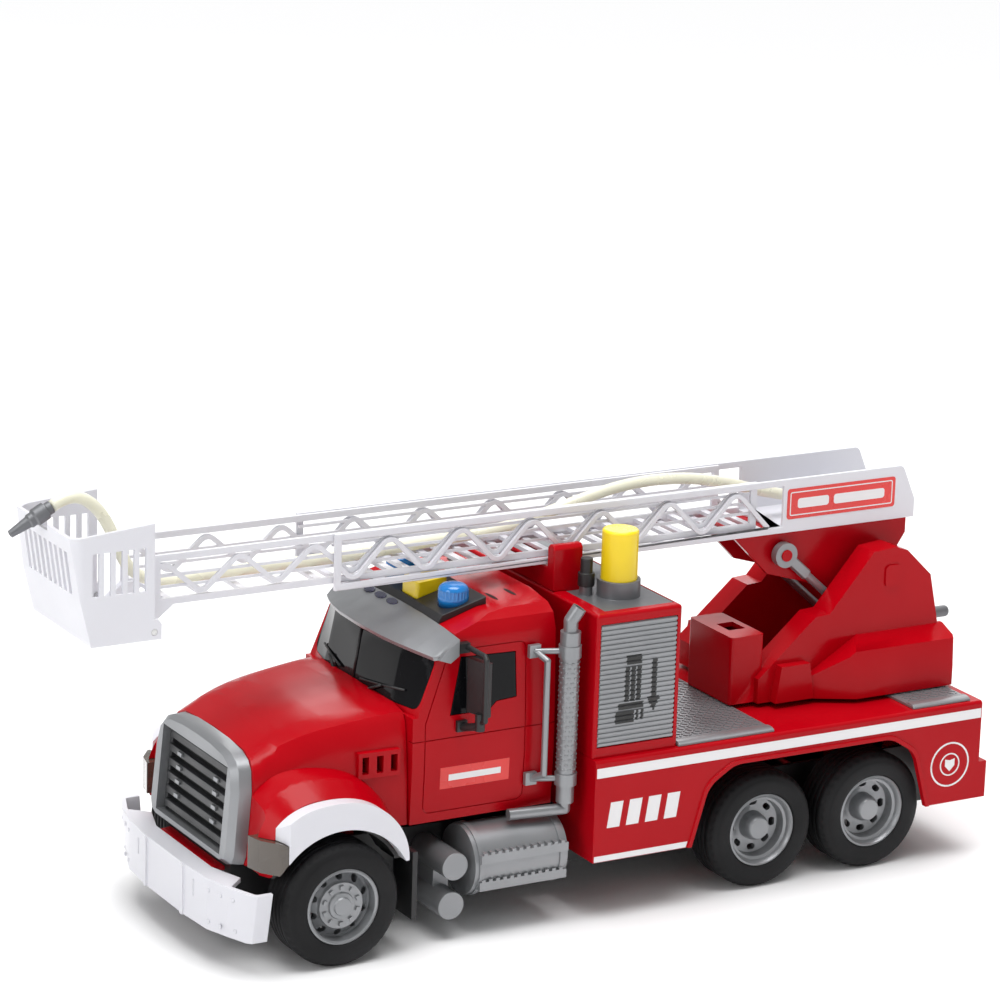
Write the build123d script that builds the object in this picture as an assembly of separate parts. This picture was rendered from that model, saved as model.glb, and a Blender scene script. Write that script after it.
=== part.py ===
from build123d import *
from math import radians, tan
import os

# Toy ladder fire engine, millimetres. +X forward, +Y to its left, +Z up.
# The origin is on the ground, under the middle of the body, ladder and basket.

# ---- driving dimensions ----
BODY_HALF = 62.5             # half the width of the rear body
WALL = 2.0                   # moulded plastic wall
GAP = 0.3                    # clearance between pieces that move past each other
WHEEL_R = 25.0
AXLE_R = 2.0
AXLE_FIT = 0.05              # radial running clearance of every axle and pin
FRONT_AXLE_X = 113.5
REAR_AXLE_X = (-82.0, -136.5)
FRONT_TYRE_Y = (43.0, 63.4)
REAR_TYRE_Y = (38.0, 58.5)
RIM_R = 15.4

CHASSIS_X = (-184.0, 146.0)
CHASSIS_HALF = 29.8
CHASSIS_Z = 14.0
CHASSIS_FLOOR = 2.5
RAIL_TOP = 40.0
SCREWS = ((92.0, 22.0), (40.0, 24.0), (-30.0, 24.0), (-170.0, 22.0))
SCREW_R = 1.4
BOSS_R = 3.5

CAB_X = (12.0, 76.0)
SILL_Z = 47.0
HOOD_FRONT_X = 146.0
GRILLE_AT = (147.6, 0.0, 58.5)
GRILLE_LEAN = -5.2           # degrees, top leaning back
ARCH_R = 31.0                # front wheel arch

BODY_X = (-187.0, 1.6)
BODY_Z = (25.0, 68.0)
PUMP_BOX_X = (-37.9, 1.6)
PUMP_BOX_HALF = 59.5
PUMP_BOX_TOP = 127.6
PLUNGER_AT = (-21.3, 36.9)
PLUNGER_R = 7.4
PLUNGER_TOP = 155.0
FILLER_AT = (-9.5, 31.2)
CRADLE_X = (-12.0, 1.4)

BEACON_X = 46.0
BEACON_Y = 22.0
BUTTON_X = (40.0, 54.0)
BUTTON_HALF = 6.5

TURRET_X = -138.0
TURRET_Z = 70.0
TURRET_WALL_Y = (20.0, 32.0)
HUB_R = 14.0
TURNTABLE_R = 22.0
LIFT_AT = (-158.0, 119.0)    # ladder's hinge, x and z
LIFT_PIN_R = 2.5
RAM_AT = (-114.0, 128.0)     # ram's eye on the ladder bracket, x and z
RAM_END = (-172.7, 76.6)
RAM_Y = (15.2, 18.8)
REAR_TIP_X = -212.0

LADDER_Z = (137.5, 160.5)
OUTER_X = (-178.5, 96.5)
OUTER_Y = (15.9, 17.4)
OUTER_SOLID_X = -112.0       # the rear stretch of the side walls is a plain plate
INNER_X = (-100.0, 173.0)
INNER_Y = (13.9, 15.4)
INNER_Z = (140.2, 160.2)
TRUSS_PITCH = 32.2
TRUSS_START = -72.9          # a low point of the truss wave
RUNG_PITCH = 16.1
BASKET_HINGE = (178.0, 134.0)
BASKET_HALF = 27.5
BASKET_FRONT = 212.0
BASKET_PIN_R = 1.25

HOSE_R = 2.4
HOSE_ROUTE = (
    (208.2, 0.0, 179.8),
    (200.5, 0.0, 184.2),
    (189.8, 0.3, 178.2),
    (182.6, 0.8, 165.0),
    (177.5, 1.3, 151.5),
    (165.5, 2.0, 145.0),
    (147.0, 3.0, 146.2),
    (120.0, 5.0, 147.4),
    (80.0, 2.0, 146.2),
    (42.0, -2.0, 147.0),
    (12.0, 1.0, 149.0),
    (-14.0, 4.0, 156.6),
    (-41.0, 5.0, 163.2),
    (-68.0, 4.5, 163.2),
    (-92.0, 2.5, 158.2),
    (-111.0, 0.0, 151.6),
    (-128.0, -1.5, 147.4),
)


# ---- shape helpers ----
def block(x, y, z):
    """Box between (low, high) pairs."""
    sizes = [high - low for low, high in (x, y, z)]
    middle = [(high + low) / 2 for low, high in (x, y, z)]
    return Pos(*middle) * Box(*sizes)


def rod_x(x, radius, y, z):
    return Pos((x[0] + x[1]) / 2, y, z) * Rot(0, 90, 0) * Cylinder(radius, x[1] - x[0])


def rod_y(y, radius, x, z):
    return Pos(x, (y[0] + y[1]) / 2, z) * Rot(90, 0, 0) * Cylinder(radius, y[1] - y[0])


def rod_z(z, radius, x, y):
    return Pos(x, y, (z[0] + z[1]) / 2) * Cylinder(radius, z[1] - z[0])


def rod_between(a, b, radius):
    """Round bar between two points."""
    run = Vector(*b) - Vector(*a)
    plane = Plane(origin=Vector(*a) + run / 2, z_dir=run.normalized())
    return plane * Cylinder(radius, run.length)


def prism(points, push):
    """Extrudes a closed outline of 3-D points along a vector."""
    wire = Wire.make_polygon([Vector(*point) for point in points], close=True)
    return Part() + Solid.extrude(Face(wire), Vector(*push))


def side_prism(outline, y):
    """Outline in x and z, extruded across the truck."""
    return prism([(px, y[0], pz) for px, pz in outline], (0, y[1] - y[0], 0))


def plan_prism(outline, z):
    """Outline in x and y, extruded upwards."""
    return prism([(px, py, z[0]) for px, py in outline], (0, 0, z[1] - z[0]))


def end_prism(outline, x):
    """Outline in y and z, extruded along the truck."""
    return prism([(x[0], py, pz) for py, pz in outline], (x[1] - x[0], 0, 0))


def mirrored(half):
    """Closes a half outline that starts at the bottom and ends at the middle."""
    return list(half) + [(-py, pz) for py, pz in reversed(half) if py]


def both_sides(shape):
    return Part() + shape + mirror(shape, about=Plane.XZ)


def helix_spring(base, height, radius, pitch, wire_radius):
    path = Pos(*base) * Helix(pitch=pitch, height=height, radius=radius)
    section = Plane(origin=path @ 0, z_dir=path % 0) * Circle(wire_radius)
    return sweep(section, path=path)


def screw(x, y, z, length):
    """Pan-head screw, head down, with a cross slot."""
    body = rod_z((z, z + 1.8), 2.9, x, y) + rod_z((z + 1.8, z + length), SCREW_R, x, y)
    for size in ((3.6, 0.7), (0.7, 3.6)):
        body -= Pos(x, y, z) * Box(size[0], size[1], 1.4)
    return body


def boss(x, y, top):
    """Hollow post that a body screw bites into."""
    foot = CHASSIS_Z + CHASSIS_FLOOR + 0.2
    post = rod_z((foot, top), BOSS_R, x, y)
    return post - rod_z((foot, foot + 20), SCREW_R + 0.05, x, y)


# ---- wheels ----
def tyres(x, y):
    left = rod_y(y, WHEEL_R, x, WHEEL_R)
    left = fillet(left.edges().filter_by(GeomType.CIRCLE), 2.2)
    left -= rod_y((y[0] - 1, y[1] + 1), RIM_R, x, WHEEL_R)
    return both_sides(left)


# Rim faces: (radius, depth below the tyre's outer side), from the lip to the hub.
FRONT_RIM_FACE = ((RIM_R, 0.8), (14.7, 0.5), (14.0, 1.0), (13.6, 5.4), (12.9, 6.2), (9.9, 4.0), (9.3, 2.6),
                  (5.6, 2.6), (5.2, 1.8), (3.8, 1.5), (3.4, 0.7), (0, 0.3))
REAR_RIM_FACE = ((RIM_R, 0.8), (14.6, 0.5), (13.9, 1.4), (13.4, 3.0), (12.3, 3.4), (11.8, 7.6), (7.4, 8.8),
                 (6.0, 8.6), (5.6, 5.0), (4.9, 3.0), (4.3, 2.2), (0, 1.8))


def rims(x, y, face, thick):
    """Pair of plain rims, spun from their outer face."""
    outer = [(radius, -depth) for radius, depth in face]
    back = [(0, y[0] + 1 - y[1]), (4.5, y[0] + 1 - y[1]), (4.5, -face[-3][1] - 9),
            (11.6, -face[5][1] - thick), (13.0, y[0] + 1 - y[1]), (RIM_R, y[0] + 1 - y[1])]
    outline = [Vector(radius, 0, along) for radius, along in outer + back]
    section = Face(Wire.make_polygon(outline, close=True))
    return Pos(x, y[1], WHEEL_R) * Rot(-90, 0, 0) * revolve(Part() + section, axis=Axis.Z)


def rim_ring(x, y, count, ring_r, shape):
    """Copies of a shape in a circle on a rim's face, its length along the axle."""
    ring = Part()
    for turn in range(count):
        ring += Pos(x, y, WHEEL_R) * Rot(0, 360 / count * turn, 0) * Pos(0, 0, ring_r) * shape
    return ring


def rims_front():
    x, y = FRONT_AXLE_X, FRONT_TYRE_Y
    left = rims(x, y, FRONT_RIM_FACE, WALL + 1.8)
    left -= rim_ring(x, y[1] - 6, 10, 11.6, Rot(90, 0, 0) * Cylinder(1.5, 8))
    left += rim_ring(x, y[1] - 2.5, 10, 7.4, Box(1.6, 1.6, 1.6))
    return both_sides(left - axle(x, y[1] - 5))


def rims_rear(x):
    y = REAR_TYRE_Y
    left = rims(x, y, REAR_RIM_FACE, WALL)
    oval = Rot(90, 0, 0) * extrude(SlotOverall(3.8, 2.4), amount=6, both=True)
    left -= rim_ring(x, y[1] - 8.2, 8, 9.6, oval)
    return both_sides(left - axle(x, y[1] - 10))


def axle(x, half):
    return rod_y((-half, half), AXLE_R, x, WHEEL_R)


# ---- chassis and what it holds ----
def chassis():
    half = (-CHASSIS_HALF, CHASSIS_HALF)
    inside = (-CHASSIS_HALF + WALL, CHASSIS_HALF - WALL)
    floor_top = CHASSIS_Z + CHASSIS_FLOOR
    tray = block(CHASSIS_X, half, (CHASSIS_Z, RAIL_TOP))
    tray -= block((CHASSIS_X[0] + WALL, CHASSIS_X[1] - WALL), inside, (floor_top, RAIL_TOP))
    # battery bay, open downwards
    tray += block((-49.5, 9.5), (-17.5, 17.5), (floor_top, 32.5))
    tray -= block((-48, 8), (-16, 16), (CHASSIS_Z, 31))
    for x in (17, 45):
        for y in (-10, 10):
            tray += rod_z((floor_top, 34.2), 2.0, x, y)
    for x in (FRONT_AXLE_X, *REAR_AXLE_X):
        for y in ((24, 36.5), (-36.5, -24)):
            tray += rod_y(y, 5, x, WHEEL_R)
        tray -= rod_y((-40, 40), AXLE_R + AXLE_FIT, x, WHEEL_R)
    for x, y in SCREWS:
        for side in (y, -y):
            tray -= rod_z((CHASSIS_Z - 1, floor_top + 1), SCREW_R + 0.2, x, side)
    for ring in range(6):
        tray -= Pos(66, 0, CHASSIS_Z) * Rot(0, 0, 60 * ring) * Pos(6, 0, 0) * Cylinder(1.3, 8)
    return tray - block((136, 150), (-50, 50), (36.4, 60))


def battery_cover():
    plate = block((-52, 12), (-18.5, 18.5), (CHASSIS_Z - 1.6, CHASSIS_Z))
    return plate + block((-47.7, 7.7), (-15.7, 15.7), (CHASSIS_Z, CHASSIS_Z + 1.2))


def batteries():
    cell = rod_x((-45.5, 3.5), 7.1, 8, 23) + rod_x((3.5, 4.8), 2.7, 8, 23)
    return both_sides(cell)


def circuit_board():
    board = block((14, 48), (-13, 13), (34.2, 35.8))
    board += block((18, 25), (-9, -2), (35.8, 37.6))
    board += block((34, 42), (3, 9), (35.8, 39.8))
    return board + rod_z((35.8, 41), 2.5, 29, 6)


def speaker():
    cone = rod_z((16.6, 19), 14, 66, 0) + rod_z((19, 21), 10, 66, 0)
    return cone + rod_z((21, 25), 7, 66, 0)


def body_screws():
    group = Part()
    for x, y in SCREWS:
        for side in (y, -y):
            group += screw(x, side, CHASSIS_Z - 1.8, 14)
    return group


# ---- cab ----
# Plan outlines of the bowed windscreen at its foot, head and header: (height, ((x, y), ...)).
SCREEN_RINGS = (
    (90.6, ((60, 46.2), (73.6, 44.6), (77.2, 28), (79, 0))),
    (115.4, ((50, 46.2), (64.4, 45.2), (72.0, 28), (75.0, 0))),
    (118.6, ((45, 44), (56, 40), (60, 28), (64, 0))),
)


def ring_loft(rings, inset):
    """Stacks symmetrical plan outlines, each pulled in by the inset."""
    wires = []
    for height, half in rings:
        near = [(px - inset, py - inset if py else 0) for px, py in half]
        outline = near + [(px, -py) for px, py in reversed(near) if py]
        level = height - inset
        wires.append(Wire.make_polygon([Vector(px, py, level) for px, py in outline], close=True))
    return Part() + Solid.make_loft(wires, ruled=True)


def cab_form(inset):
    """Outer form of the cab, or its inside when inset by the wall."""
    t = inset
    side = [(12 + t, 47 - t), (76 - t, 47 - t), (76 - t, 91 - t), (74 - t, 91 - t), (64.6 - t, 115.2 - t),
            (57 - t, 118 - t), (57 - t, 122.6 - t), (40, 128 - t), (12 + t, 131 - t)]
    half = [(45.5 - t, 47 - t), (46.6 - t, 70), (46.4 - t, 88), (44.8 - t, 120), (42.6 - t, 126 - t),
            (38, 129 - t), (24, 131 - t), (0, 131.8 - t)]
    form = side_prism(side, (-50, 50)) + ring_loft(SCREEN_RINGS, t)
    return form & end_prism(mirrored(half), (12 + t, 80))


def windscreen_hole(trim):
    t = trim
    outline = Pos(0, 104.1) * RectangleRounded(88.6 - 2 * t, 21.8 - 2 * t, 4 - t)
    return Pos(60, 0, 0) * extrude(Plane.YZ * outline, amount=22)


def side_window_hole(trim):
    t = trim
    outline = [(54.8 - t, 113.5 - t), (30 + t, 112.8 - t), (29.5 + t, 94 + t),
               (38.5, 93.4 + t), (42, 90.2 + t), (59.6 - 1.5 * t, 90.2 + t)]
    return side_prism(outline, (40, 50))


def outline_band(outline, width, y):
    """Thin frame that runs round an outline given in x and z."""
    loop = FilletPolyline(*outline, radius=3, close=True)
    line = trace(loop, line_width=width)
    return Pos(0, y[1], 0) * extrude(Plane.XZ * line, amount=y[1] - y[0])


def cab_shell():
    outer = cab_form(0)
    shell = outer - cab_form(WALL)
    shell -= windscreen_hole(0) + both_sides(side_window_hole(0))
    # door gap and waistline, half a millimetre deep
    door = [(25.5, 51), (70.5, 51), (70.5, 88), (60, 116.5), (25.5, 116.5)]
    gaps = outline_band(door, 0.5, (43, 50)) + block((12, 77), (43, 50), (81, 81.5))
    shell -= both_sides(gaps) & (outer - cab_form(0.5))
    shell += block((39, 41), (-45, 45), (SILL_Z, 60))
    for y in (24, -24):
        shell += boss(40, y, 59)
    return shell


def windscreen():
    return (cab_form(0) - cab_form(WALL)) & windscreen_hole(0.2)


def side_windows():
    return (cab_form(0) - cab_form(WALL)) & both_sides(side_window_hole(0.2))


# Sections of the sun visor across the cab: (y, rear edge z, front edge x, front edge z).
VISOR_SECTIONS = ((0, 124.0, 77.0, 117.6), (18, 123.8, 75.8, 117.2), (28, 123.4, 73.8, 116.7),
                  (36, 122.9, 71.0, 115.9), (45.2, 122.0, 67.4, 114.9), (48.3, 121.7, 63.4, 116.0))


def sun_visor():
    wires = []
    near = [(-y, rear, front, low) for y, rear, front, low in reversed(VISOR_SECTIONS[1:])]
    for y, rear, front, low in near + list(VISOR_SECTIONS):
        outline = [(57.2, rear), (front, low), (front - 0.6, low - 1.6), (57.2, rear - 2.4)]
        wires.append(Wire.make_polygon([Vector(px, y, pz) for px, pz in outline], close=True))
    visor = Part() + Solid.make_loft(wires, ruled=True)
    cheek = side_prism([(57.2, 121), (63, 117.4), (66, 114.2), (61, 112.4), (57.2, 115)], (46.9, 48.3))
    return visor + both_sides(cheek) - cab_form(0)


def mirrors():
    head = Pos(51, 53.6, 103) * Rot(0, 0, 15) * Box(3, 12, 22)
    left = fillet(head.edges().filter_by(Axis.Z), 1)
    left += rod_between((53, 46, 118), (51.5, 58.6, 117), 1.1) + Pos(51.5, 60, 115.6) * Sphere(1.1)
    left += rod_between((51.5, 58.6, 117), (51.5, 60, 115.6), 1.1) + Pos(51.5, 58.6, 117) * Sphere(1.1)
    left += rod_between((51.5, 60, 115.6), (51.5, 60, 91), 1.1)
    left += rod_between((54.5, 47, 85), (51.5, 56, 87.6), 1.6) + rod_z((86, 93), 2.0, 51.5, 56)
    left += rod_between((51.5, 56, 89), (51.5, 60, 91), 1.1) + Pos(51.5, 60, 91) * Sphere(1.1)
    left += block((52.5, 57), (46, 48), (83.5, 88)) + block((52, 56.5), (44, 47.6), (115.6, 119.6))
    return both_sides(left) - cab_form(0)


def light_bar():
    """Thin plinth that follows the roof's slope under the lamps and the button."""
    side = [(35.5, 126), (35.5, 131.6), (55.2, 126.2), (57.0, 123.6), (57.0, 119)]
    base = side_prism(side, (-30, 30)) - cab_form(0)
    low = -BUTTON_HALF - GAP, BUTTON_HALF + GAP
    return base - block((BUTTON_X[0] - GAP, BUTTON_X[1] + GAP), low, (119, 135))


def beacon_lamps():
    dome = rod_z((124, 136.4), 6.2, BEACON_X, BEACON_Y)
    dome = fillet(dome.edges().filter_by(GeomType.CIRCLE).sort_by(Axis.Z)[-1], 3)
    return both_sides(dome) - light_bar() - cab_form(0)


def roof_button():
    """Cap that fills its opening in the light bar and floats above the roof on its spring."""
    rear, front = BUTTON_X
    side = [(rear, 129.9), (rear, 134.2), (front, 132.8), (front, 125.6)]
    cap = side_prism(side, (-BUTTON_HALF, BUTTON_HALF))
    cap = fillet(cap.edges().filter_by(Axis.Z), 1.5)
    return cap - rod_z((120, 128.2), 2.6, 50, 0)


def button_spring():
    return helix_spring((50, 0, 126.0), 1.5, 2.0, 0.9, 0.25)


# ---- hood, grille and bumper ----
# Half sections of the hood from the cab forwards: (x, ((y, z), ...)), from the sill to the crown.
HOOD_SECTIONS = (
    (76.4, ((44.4, 38), (43.6, 65), (42.0, 81), (40.8, 88.4), (38.4, 92.0), (30, 93.6), (0, 94.8))),
    (92, ((43.6, 38), (42.9, 65), (41.4, 80), (40.1, 87.2), (37.5, 91.0), (29.5, 92.9), (0, 94.2))),
    (108, ((42.3, 38), (41.7, 64), (40.4, 78.4), (39.1, 85.0), (36.4, 89.0), (28.6, 91.1), (0, 92.5))),
    (122, ((40.8, 38), (40.2, 63), (39.2, 76.2), (37.9, 81.8), (35.1, 86.0), (27.7, 88.4), (0, 89.9))),
    (134, ((39.2, 38), (38.7, 61), (38.0, 72.6), (36.8, 77.4), (33.7, 81.4), (26.7, 83.9), (0, 85.2))),
    (146, ((37.4, 38), (37.2, 58), (36.6, 69.0), (35.2, 73.4), (31.5, 76.9), (25.3, 79.3), (0, 80.6))),
)


def section_loft(sections):
    wires = []
    for x, half in sections:
        points = [Vector(x, py, pz) for py, pz in mirrored(half)]
        wires.append(Wire.make_polygon(points, close=True))
    return Part() + Solid.make_loft(wires, ruled=False)


def hood_inside():
    pulled = []
    for x, half in HOOD_SECTIONS:
        inner = [(py - WALL if py else 0, pz - WALL) for py, pz in half]
        pulled.append((x, [(inner[0][0], 30)] + inner[1:]))
    ends = [(70, pulled[0][1])] + pulled[1:-1] + [(150, pulled[-1][1])]
    return section_loft(ends)


def front_arch():
    return rod_y((38.2, 70), ARCH_R, FRONT_AXLE_X, WHEEL_R)


def headlight_block(grow):
    g = grow
    plan = [(139 - g, 46.2 - g), (146.8 + g, 46.2 - g), (145 + g, 54), (139.4 + g, 61.6 + g),
            (135.5 - g, 61.6 + g), (135.5 - g, 52)]
    lens = plan_prism(plan, (41 - g, 54 + g))
    lens = fillet(lens.edges().filter_by(Axis.Z).sort_by(Axis.Y)[-2], 3)
    return fillet(lens.edges().filter_by(Axis.Y).sort_by(Axis.X)[:2], 4.5)


def grille_frame():
    return Pos(*GRILLE_AT) * Rot(0, GRILLE_LEAN, 0)


# Side outlines of the flared front wing at three distances from the middle: (y, ((x, z), ...)).
WING_OUTLINES = (
    (35, ((145.2, 38.5), (145.2, 58), (133, 73.5), (117, 76), (97, 70), (86, 57), (83.4, 43))),
    (48, ((144.6, 38.5), (144.8, 57), (132.6, 71.0), (117, 73.4), (98, 68.2), (87, 56), (84, 43))),
    (56, ((140.6, 38.5), (140.8, 53), (130.8, 65.2), (117, 67.4), (101, 64), (90.4, 54.4), (86.4, 43))),
)


def arched_wire(outline, y):
    """Smooth curve through points in x and z, closed by a straight foot."""
    points = [Vector(px, y, pz) for px, pz in outline]
    return Wire([Edge.make_spline(points), Edge.make_line(points[-1], points[0])])


def front_wing():
    wires = [arched_wire(outline, y) for y, outline in WING_OUTLINES]
    return Part() + Solid.make_loft(wires, ruled=True)


def hood_shell():
    shell = section_loft(HOOD_SECTIONS)
    shell += both_sides(front_wing())
    shell -= hood_inside()
    shell -= block((70, 88), (-50, 50), (30, SILL_Z))
    shell -= both_sides(front_arch() + headlight_block(0.2))
    # louvred vents behind the front wheels
    vent = plan_prism([(80.2, 41), (98, 40), (98, 43.6), (80.2, 44.6)], (68.4, 79))
    for x in (82.8, 88.8, 95):
        slot = block((x - 1.4, x + 1.4), (30, 50), (70.2, 77.2))
        vent -= slot
        shell -= both_sides(slot)
    shell += both_sides(vent)
    shell += block((91, 93), (-41.5, 41.5), (62, 72))
    for y in (22, -22):
        shell += boss(92, y, 66)
    shell -= Pos(GAP, 0, -GAP) * cab_form(0)
    return shell - grille_frame() * block((-6.1, 20), (-50, 50), (-60, 60))


def front_valance():
    return plan_prism([(146, -25), (151, -24), (151, 24), (146, 25)], (32.4, 34.2))


# Half outline of the grille's arched surround, (y, height above its middle).
SURROUND_HALF = ((32, -21.5), (36, -20), (37.6, -16.5), (37, 9.5), (34.8, 17.5), (31.5, 20.9),
                 (26, 23.1), (14, 24.4), (0, 24.7))


def grille_surround():
    wires = []
    for x, shrink in ((-6, 1), (-1, 0.98), (1.5, 0.91)):
        outline = [Vector(x, py * shrink, pz * shrink) for py, pz in mirrored(SURROUND_HALF)]
        wires.append(Wire.make_polygon(outline, close=True))
    frame = Part() + Solid.make_loft(wires, ruled=True)
    frame -= block((-8, 3), (-29.2, 29.2), (-17.6, 17.6))
    return grille_frame() * frame


def grille_insert():
    insert = block((-5.8, -4.6), (-29, 29), (-17.4, 17.4))
    for row in range(6):
        z = -14.2 + 5.7 * row
        insert += block((-4.6, -1.2), (-27.6, 27.6), (z - 1.6, z + 1.4))
    for y in (-28, 28):
        insert += block((-4.6, -2), (y - 1, y + 1), (-17.4, 17.4))
    return grille_frame() * insert


def grille_pegs():
    group = Part()
    for y in (-16.5, 16.5):
        for row in range(4):
            z = -8.6 + 5.7 * row
            group += grille_frame() * block((-1.2, -0.3), (y - 1.8, y + 1.8), (z - 0.7, z + 0.9))
    return group


# Left half of the bumper in plan, from the middle round its end and back: (x, y).
BUMPER_TOP = ((160.4, 0), (160.4, 18), (159, 36), (155.8, 50), (151.8, 60.4), (150, 62.2), (143.5, 62.2),
              (143.5, 60.2), (149.2, 60.2), (150, 59.4), (153.8, 49.4), (157, 35.6), (158.4, 18), (158.4, 0))
BUMPER_TAPER = 4.5           # how much nearer the middle its ends are at the foot


def bumper():
    wires = []
    for z, taper in ((14, BUMPER_TAPER), (35, 0)):
        plan = [Vector(px, py - taper * (py > 45), z) for px, py in BUMPER_TOP]
        wires.append(Wire.make_polygon(plan, close=True))
    shell = both_sides(Part() + Solid.make_loft(wires, ruled=True))
    shelf = [(160, 0), (160, 18), (158.6, 36), (155.4, 49), (147, 41), (152, 25.5), (152, 0)]
    shell += both_sides(plan_prism(shelf, (33, 35)))
    rib = block((160.2, 161.2), (15.8, 18.2), (14, 34.5))
    stay = block((CHASSIS_X[1], 159), (20, 26), (18, 30))
    return shell + both_sides(rib + stay)


def fender_bands():
    outer = [(145, 38.2), (144, 53), (134, 63.6), (118, 67.2), (100, 63.8), (89.2, 54.4), (84.6, 39.5)]
    band = Part() + Solid.extrude(Face(arched_wire(outer, 56)), Vector(0, 6.2, 0))
    band &= plan_prism([(80, 56), (139.8, 56), (139, 58.5), (136.5, 62.2), (80, 62.2)], (30, 80))
    return both_sides(band - front_arch() - headlight_block(0.2))


def headlights():
    return both_sides(headlight_block(0) - front_arch())


def wheel_guards():
    ring = rod_y((39, 55.8), ARCH_R - 0.2, FRONT_AXLE_X, WHEEL_R)
    ring -= rod_y((38, 57), ARCH_R - 1.6, FRONT_AXLE_X, WHEEL_R)
    left = ring & block((60, 150), (30, 60), (38.6, 70))
    left += block((79.8, 88), (44, 55.8), (38.6, 41.6))
    return both_sides(left + block((79.8, 82), (44, 60), (13.6, 41.6)))


# ---- running gear on the cab's flanks ----
def exhaust(side):
    """Stack with its shield, elbow and grab rail."""
    x, y = 9.9, 53.0
    pipe = rod_z((62, 110), 3.9, x, y) + rod_z((57, 62), 4.5, x, y) + rod_z((49.6, 57), 3.6, x, y)
    pipe += rod_z((110, 120.6), 4.1, x, y) + rod_z((110, 115), 4.6, x, y)
    pipe += rod_z((120, 125), 2.9, x, y) + Pos(x, y, 125) * Sphere(2.9)
    tip = rod_between((x, y, 125), (x - 3.0, y + 1.2, 130.2), 2.9)
    tip -= rod_between((x - 1.5, y + 0.6, 127.6), (x - 4.5, y + 1.8, 132.8), 2.0)
    pipe += tip
    pipe += rod_between((x, y, 49.6), (x, y, 46.6), 2.3) + Pos(x, y, 46.6) * Sphere(2.3)
    pipe += rod_between((x, y, 46.6), (34, 50, 46.6), 2.3)
    for z, way in ((59.5, 1), (112.5, -1)):
        pipe += block((20.5, 25.5), (46.5, 48.4), (z - 2.6, z + 2.6))
        pipe += rod_between((23, 48, z), (x, y, z), 1.2)
        end = (20, y, z + 3 * way)
        pipe += rod_between((22.6, 47.6, z), end, 1.3) + Pos(*end) * Sphere(1.3)
    pipe += rod_z((62.5, 109.5), 1.3, 20, y)
    return pipe if side > 0 else mirror(pipe, about=Plane.XZ)


def fuel_tanks():
    y, z = 44.6, 29.2
    tank = rod_x((11, 53), 14.2, y, z)
    for x in (12.5, 49):
        tank += rod_x((x, x + 2.2), 14.8, y, z)
    for low, reach in ((31.4, 60), (19.8, 59)):
        tank += block((11.5, 51), (47, reach), (low, low + 3.6))
        for tooth in range(12):
            at = 13.2 + 3.2 * tooth
            tank += block((at, at + 1.6), (53, reach), (low + 3.6, low + 4.6))
    return both_sides(tank - rod_x((13, 51), 12.2, y, z))


def air_tanks():
    left = Part()
    for x, z in ((61, 31.1), (62.4, 14.9)):
        left += rod_y((CHASSIS_HALF, 56.6), 5.7, x, z)
    left += block((58, 65), (CHASSIS_HALF, 46), (14.9, 31.1))
    return both_sides(left)


# ---- rear body ----
ARCH_OUTLINE = ((-39, 5), (-52, 50), (-64, 57.5), (-141, 57.5), (-153, 50), (-166, 5))
ARCH_LIP = ((-37, 5), (-50.4, 51.2), (-63.4, 59.3), (-141.6, 59.3), (-154.6, 51.2), (-168, 5))


def rounded_prism(outline, radius, y):
    """Side outline with every corner rounded, extruded across the truck."""
    face = make_face(FilletPolyline(*outline, radius=radius, close=True))
    return Pos(0, y[1], 0) * extrude(Plane.XZ * face, amount=y[1] - y[0])


def rear_body():
    shell = block(BODY_X, (-BODY_HALF, BODY_HALF), BODY_Z)
    inner_x = (BODY_X[0] + WALL, BODY_X[1] - WALL)
    shell += block((BODY_X[0] - 4, BODY_X[0]), (-BODY_HALF, BODY_HALF), (BODY_Z[0], 41))
    shell = fillet(shell.edges().filter_by(Axis.X).group_by(Axis.Z)[-1], 1.5)
    shell -= block(inner_x, (-BODY_HALF + WALL, BODY_HALF - WALL), (20, BODY_Z[1] - WALL))
    lip = rounded_prism(ARCH_LIP, 12, (BODY_HALF - 1, BODY_HALF + 0.8))
    shell += both_sides(lip & block(BODY_X, (0, 70), (BODY_Z[0], 70)))
    shell -= rounded_prism(ARCH_OUTLINE, 12, (-70, 70))
    shell -= block((-5, 5), (-CHASSIS_HALF - GAP, CHASSIS_HALF + GAP), (20, RAIL_TOP + GAP))
    shell += rod_z((BODY_Z[1] - 1, TURRET_Z - GAP), TURNTABLE_R, TURRET_X, 0)
    shell -= rod_z((60, 75), HUB_R + AXLE_FIT, TURRET_X, 0)
    for x, y in SCREWS[2:]:
        for side in (y, -y):
            shell += boss(x, side, BODY_Z[1] - 1)
    return shell


def tread_plate(x):
    top = (BODY_Z[1], BODY_Z[1] + 1.2)
    plate = block(x, (-60.5, 60.5), top)
    plate = fillet(plate.edges().filter_by(Axis.X).group_by(Axis.Z)[-1], 0.8)
    return plate - rod_z((60, 75), TURNTABLE_R + GAP, TURRET_X, 0)


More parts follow.
